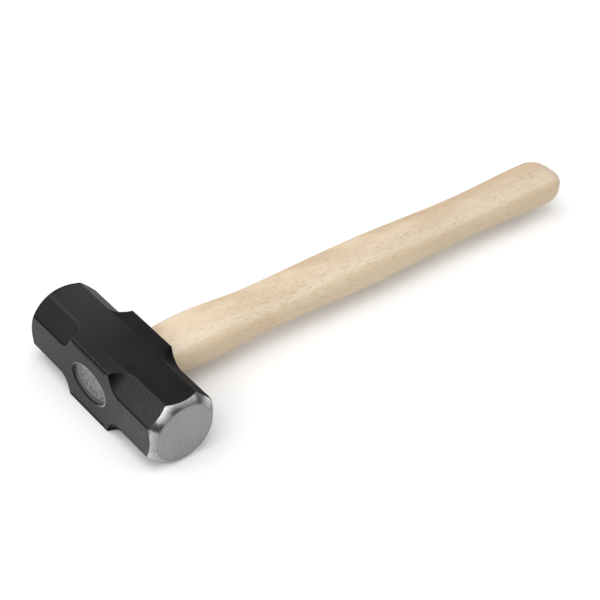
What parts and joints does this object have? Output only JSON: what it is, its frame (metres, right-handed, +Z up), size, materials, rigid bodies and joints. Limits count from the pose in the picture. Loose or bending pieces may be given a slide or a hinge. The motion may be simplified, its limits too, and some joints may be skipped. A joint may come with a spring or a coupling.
{
  "type": "sledgehammer",
  "caption": "Short-handled sledgehammer: black forged double-faced head with ground octagonal ends and a waisted oval wooden handle wedged and sealed in its eye.",
  "frame": {"origin": "centre of the lower cheek of the head, straight under the middle of the eye, on the surface the hammer lies on", "axes": "+X along the striking axis, +Y from the head to the butt of the handle, +Z up out of the upper cheek"},
  "size_m": [0.1064, 0.329, 0.037],
  "materials": {
    "black_finish": "satin black, faintly speckled, over forged steel; the two ends are ground bare",
    "bright_steel": "ground bare steel, as on the striking faces and the barbed wedges",
    "handle_wood": "sanded pale hardwood with short flecks along the grain",
    "wedge_wood": "plain sawn hardwood",
    "grey_resin": "hard grey seal, slightly mottled"
  },
  "bodies": {
    "root": {"head": "black_finish", "handle": "handle_wood", "wooden_wedge": "wedge_wood", "steel_wedge_1": "bright_steel", "steel_wedge_2": "bright_steel", "eye_seal": "grey_resin"}
  },
  "joints": []
}
